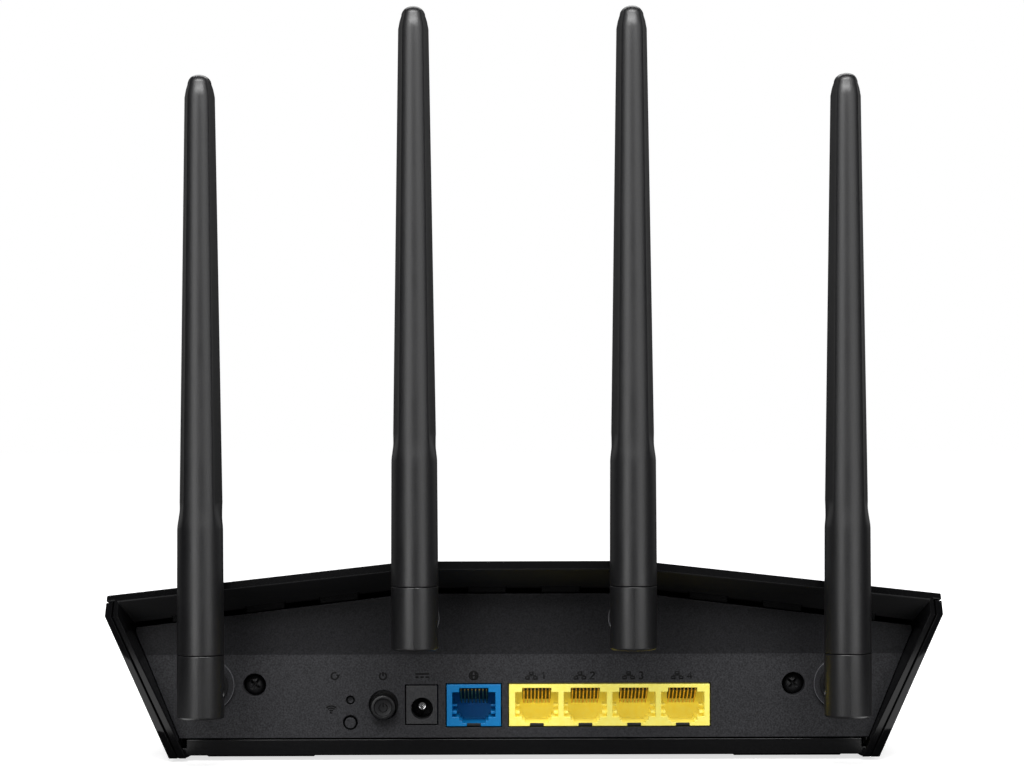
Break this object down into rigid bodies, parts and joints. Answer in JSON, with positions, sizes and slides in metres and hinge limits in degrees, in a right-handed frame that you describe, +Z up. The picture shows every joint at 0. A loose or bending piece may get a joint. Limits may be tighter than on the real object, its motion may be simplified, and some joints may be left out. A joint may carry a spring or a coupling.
{
  "type": "wireless router",
  "caption": "Wedge-shaped desktop wireless router with swivelling antennas, a blue WAN port, yellow LAN ports, a DC inlet and push buttons on its recessed rear panel.",
  "frame": {"origin": "on the standing plane, under the middle of the object's bounding box", "axes": "+Z up, -Y the rear side with the ports and the antennas, +X to the right as seen from the ports' side"},
  "size_m": [0.23, 0.1484, 0.2068],
  "materials": {
    "case_black": "semi-gloss black moulded ABS",
    "panel_charcoal": "fine spark-eroded texture, charcoal",
    "antenna_black": "satin black with a fine grain",
    "stub_black": "satin black",
    "port_blue": "semi-gloss moulded",
    "port_yellow": "semi-gloss moulded",
    "contact_gold": "gold-plated wire",
    "bright_metal": "nickel-plated",
    "black_steel": "black zinc",
    "jack_black": "plain moulded",
    "switch_black": "plain moulded",
    "board_green": "solder-masked laminate",
    "aluminium": "extruded",
    "chip_black": "epoxy moulding",
    "can_silver": "drawn can",
    "coax_black": "smooth jacket",
    "rubber": "moulded silicone rubber",
    "light_guide_clear": "clear acrylic"
  },
  "bodies": {
    "case": {"board_screw_left": "bright_metal", "board_screw_right": "bright_metal", "bottom_case": "case_black", "capacitor": "can_silver", "coax_pigtail_inner_left": "coax_black", "coax_pigtail_inner_right": "coax_black", "coax_pigtail_outer_left": "coax_black", "coax_pigtail_outer_right": "coax_black", "dc_jack_housing": "jack_black", "dc_jack_pin": "bright_metal", "foot_front_left": "rubber", "foot_front_right": "rubber", "foot_rear_left": "rubber", "foot_rear_right": "rubber", "heatsink": "aluminium", "lan_contacts_1": "contact_gold", "lan_contacts_2": "contact_gold", "lan_contacts_3": "contact_gold", "lan_contacts_4": "contact_gold", "lan_jack_housing": "port_yellow", "lan_transformer": "chip_black", "main_board": "board_green", "panel_screw_left": "black_steel", "panel_screw_right": "black_steel", "power_switch_body": "switch_black", "processor_chip": "chip_black", "radio_shield_left": "bright_metal", "radio_shield_right": "bright_metal", "rear_panel": "panel_charcoal", "reset_switch_body": "switch_black", "status_light_guide": "light_guide_clear", "top_cover": "case_black", "wan_contacts": "contact_gold", "wan_jack_housing": "port_blue", "wan_transformer": "chip_black", "wps_switch_body": "switch_black"},
    "antenna_outer_left_swivel": {"antenna_outer_left_swivel_stub": "stub_black", "antenna_outer_left_hinge_pin": "bright_metal"},
    "antenna_outer_left": {"antenna_outer_left_knuckle": "antenna_black", "antenna_outer_left_sleeve": "antenna_black", "antenna_outer_left_radiator": "board_green"},
    "antenna_inner_left_swivel": {"antenna_inner_left_swivel_stub": "stub_black", "antenna_inner_left_hinge_pin": "bright_metal"},
    "antenna_inner_left": {"antenna_inner_left_knuckle": "antenna_black", "antenna_inner_left_sleeve": "antenna_black", "antenna_inner_left_radiator": "board_green"},
    "antenna_inner_right_swivel": {"antenna_inner_right_swivel_stub": "stub_black", "antenna_inner_right_hinge_pin": "bright_metal"},
    "antenna_inner_right": {"antenna_inner_right_knuckle": "antenna_black", "antenna_inner_right_sleeve": "antenna_black", "antenna_inner_right_radiator": "board_green"},
    "antenna_outer_right_swivel": {"antenna_outer_right_swivel_stub": "stub_black", "antenna_outer_right_hinge_pin": "bright_metal"},
    "antenna_outer_right": {"antenna_outer_right_knuckle": "antenna_black", "antenna_outer_right_sleeve": "antenna_black", "antenna_outer_right_radiator": "board_green"},
    "power_push": {"power_button": "stub_black", "power_switch_plunger": "switch_black"},
    "wps_push": {"wps_button": "panel_charcoal"},
    "reset_push": {"reset_button": "panel_charcoal"}
  },
  "joints": [
    {"name": "outer_left_swivel", "type": "hinge", "parent": "case", "child": "antenna_outer_left_swivel", "pos_m": [-0.0876, -0.0678, 0.0211], "axis": [0, 1, 0], "range_deg": [-90, 15]},
    {"name": "outer_left_tilt", "type": "hinge", "parent": "antenna_outer_left_swivel", "child": "antenna_outer_left", "pos_m": [-0.0876, -0.0678, 0.0211], "axis": [1, 0, 0], "range_deg": [0, 90]},
    {"name": "inner_left_swivel", "type": "hinge", "parent": "case", "child": "antenna_inner_left_swivel", "pos_m": [-0.0296, -0.0678, 0.0395], "axis": [0, 1, 0], "range_deg": [-15, 15]},
    {"name": "inner_left_tilt", "type": "hinge", "parent": "antenna_inner_left_swivel", "child": "antenna_inner_left", "pos_m": [-0.0296, -0.0678, 0.0395], "axis": [1, 0, 0], "range_deg": [0, 90]},
    {"name": "inner_right_swivel", "type": "hinge", "parent": "case", "child": "antenna_inner_right_swivel", "pos_m": [0.0296, -0.0678, 0.0395], "axis": [0, 1, 0], "range_deg": [-15, 15]},
    {"name": "inner_right_tilt", "type": "hinge", "parent": "antenna_inner_right_swivel", "child": "antenna_inner_right", "pos_m": [0.0296, -0.0678, 0.0395], "axis": [1, 0, 0], "range_deg": [0, 90]},
    {"name": "outer_right_swivel", "type": "hinge", "parent": "case", "child": "antenna_outer_right_swivel", "pos_m": [0.0876, -0.0678, 0.0211], "axis": [0, 1, 0], "range_deg": [-15, 90]},
    {"name": "outer_right_tilt", "type": "hinge", "parent": "antenna_outer_right_swivel", "child": "antenna_outer_right", "pos_m": [0.0876, -0.0678, 0.0211], "axis": [1, 0, 0], "range_deg": [0, 90]},
    {"name": "power_press", "type": "slide", "parent": "case", "child": "power_push", "axis": [0, 1, 0], "range_m": [0, 0.0025], "stiffness_N_per_m": 600},
    {"name": "wps_press", "type": "slide", "parent": "case", "child": "wps_push", "axis": [0, 1, 0], "range_m": [0, 0.0005], "stiffness_N_per_m": 2500},
    {"name": "reset_press", "type": "slide", "parent": "case", "child": "reset_push", "axis": [0, 1, 0], "range_m": [0, 0.0003], "stiffness_N_per_m": 2500}
  ]
}
